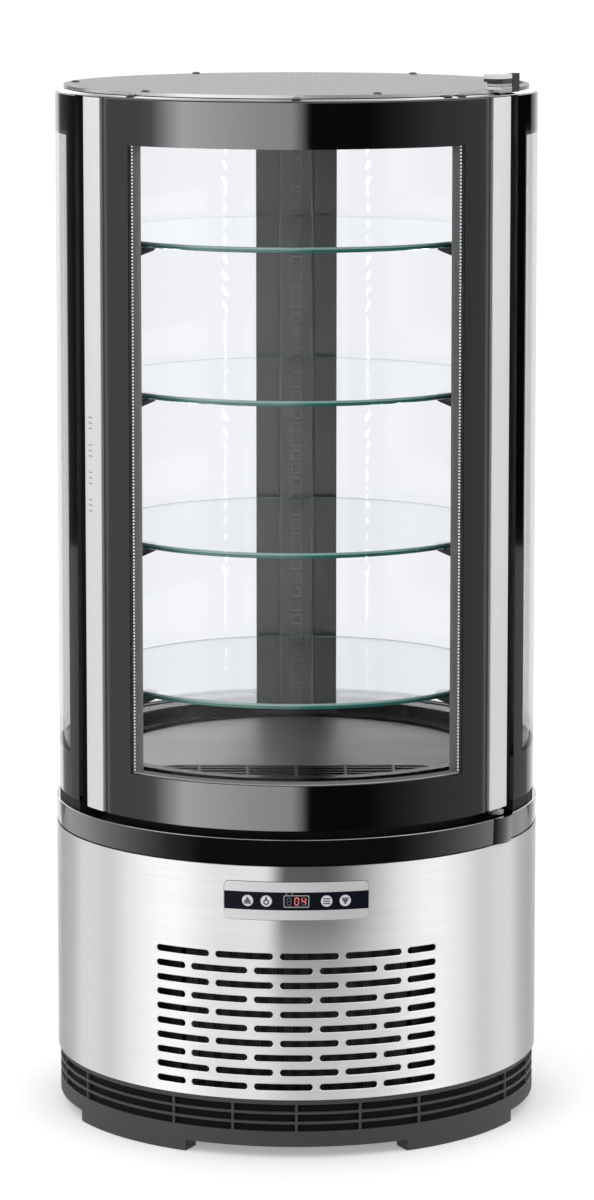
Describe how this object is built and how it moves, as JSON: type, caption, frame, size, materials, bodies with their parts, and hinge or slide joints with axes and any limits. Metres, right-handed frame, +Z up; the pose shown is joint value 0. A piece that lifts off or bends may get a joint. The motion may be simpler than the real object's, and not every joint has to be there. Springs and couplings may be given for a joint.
{
  "type": "refrigerated display cabinet",
  "caption": "Round counter-top glass display cabinet with a curved hinged door, glass shelves on clips, a louvred steel base and its cooling machinery.",
  "frame": {"origin": "on the ground under the middle of the round cabinet", "axes": "+Z up, -Y towards the door and the control panel, +X towards the hinge side"},
  "size_m": [0.45, 0.45, 0.969],
  "materials": {
    "matte_plastic": "fine grained dark grey moulding",
    "gloss_black": "polished black moulding",
    "brushed_steel": "brushed along its length",
    "sheet_steel": "galvanised sheet",
    "anodised": "satin anodised, brushed upright",
    "chrome": "polished",
    "glass": "clear float glass, bent",
    "shelf_glass": "clear float glass with a polished green edge",
    "black_print": "black enamel behind glass",
    "gasket": "soft matt seal",
    "clip_black": "soft black moulding",
    "fins": "stacked bare fins",
    "roof_grey": "textured grey coating",
    "duct_grey": "satin dark grey coating",
    "lamp": "diffusing cover",
    "button_white": "satin white cap",
    "circuit": "lacquered board",
    "compressor_black": "black enamel",
    "insulation": "black skinned foam moulding"
  },
  "bodies": {
    "cabinet": {"plinth_ring": "matte_plastic", "base_pan": "sheet_steel", "chassis_frame": "sheet_steel", "front_shell": "brushed_steel", "rear_panel": "brushed_steel", "power_inlet": "matte_plastic", "control_fascia": "anodised", "control_board": "circuit", "control_display": "gloss_black", "condenser_coil": "fins", "condenser_shroud": "sheet_steel", "condenser_fan_motor": "sheet_steel", "compressor": "compressor_black", "drip_tray": "matte_plastic", "collar_ring": "gloss_black", "lower_hinge_bush": "chrome", "insulated_floor_tub": "insulation", "floor_ring": "matte_plastic", "floor_plate": "brushed_steel", "floor_grille": "matte_plastic", "evaporator_coil": "fins", "evaporator_fan_motor": "sheet_steel", "rear_duct": "duct_grey", "rear_duct_cover": "matte_plastic", "upright_left": "matte_plastic", "upright_right": "matte_plastic", "led_strip_left": "lamp", "led_strip_right": "lamp", "shelf_clip_left_1": "clip_black", "shelf_clip_left_2": "clip_black", "shelf_clip_left_3": "clip_black", "shelf_clip_left_4": "clip_black", "shelf_clip_right_1": "clip_black", "shelf_clip_right_2": "clip_black", "shelf_clip_right_3": "clip_black", "shelf_clip_right_4": "clip_black", "side_glass_outer": "glass", "side_glass_inner": "glass", "side_glass_frame": "black_print", "ceiling_panel": "insulation", "roof_ring": "gloss_black", "roof_plate": "roof_grey", "upper_hinge_block": "chrome", "upper_hinge_bracket": "matte_plastic"},
    "door": {"door_glass_outer": "glass", "door_glass_inner": "glass", "door_glass_frame": "black_print", "door_gasket": "gasket", "hinge_profile": "anodised", "handle_profile": "anodised"},
    "shelf_1": {"glass_shelf_1": "shelf_glass"},
    "shelf_2": {"glass_shelf_2": "shelf_glass"},
    "shelf_3": {"glass_shelf_3": "shelf_glass"},
    "shelf_4": {"glass_shelf_4": "shelf_glass"},
    "condenser_fan": {"condenser_fan": "matte_plastic"},
    "evaporator_fan": {"evaporator_fan": "matte_plastic"},
    "button_up": {"button_up": "button_white"},
    "button_lamp": {"button_lamp": "button_white"},
    "button_set": {"button_set": "button_white"},
    "button_down": {"button_down": "button_white"}
  },
  "joints": [
    {"name": "door_swing", "type": "hinge", "parent": "cabinet", "child": "door", "pos_m": [0.18246, -0.11181, 0.3], "axis": [0, 0, 1], "range_deg": [0, 110]},
    {"name": "shelf_1_lift", "type": "slide", "parent": "cabinet", "child": "shelf_1", "axis": [0, 0, 1], "range_m": [0, 0.03]},
    {"name": "shelf_2_lift", "type": "slide", "parent": "cabinet", "child": "shelf_2", "axis": [0, 0, 1], "range_m": [0, 0.03]},
    {"name": "shelf_3_lift", "type": "slide", "parent": "cabinet", "child": "shelf_3", "axis": [0, 0, 1], "range_m": [0, 0.03]},
    {"name": "shelf_4_lift", "type": "slide", "parent": "cabinet", "child": "shelf_4", "axis": [0, 0, 1], "range_m": [0, 0.03]},
    {"name": "condenser_fan_spin", "type": "hinge", "parent": "cabinet", "child": "condenser_fan", "pos_m": [0, -0.12, 0.101], "axis": [0, 1, 0], "continuous": true},
    {"name": "evaporator_fan_spin", "type": "hinge", "parent": "cabinet", "child": "evaporator_fan", "pos_m": [0, 0.076, 0.3], "axis": [0, 0, 1], "continuous": true},
    {"name": "button_up_press", "type": "slide", "parent": "cabinet", "child": "button_up", "axis": [0.1942, 0.981, 0], "range_m": [0, 0.0008], "stiffness_N_per_m": 600},
    {"name": "button_lamp_press", "type": "slide", "parent": "cabinet", "child": "button_lamp", "axis": [0.1201, 0.9928, 0], "range_m": [0, 0.0008], "stiffness_N_per_m": 600},
    {"name": "button_set_press", "type": "slide", "parent": "cabinet", "child": "button_set", "axis": [-0.1201, 0.9928, 0], "range_m": [0, 0.0008], "stiffness_N_per_m": 600},
    {"name": "button_down_press", "type": "slide", "parent": "cabinet", "child": "button_down", "axis": [-0.1942, 0.981, 0], "range_m": [0, 0.0008], "stiffness_N_per_m": 600}
  ]
}
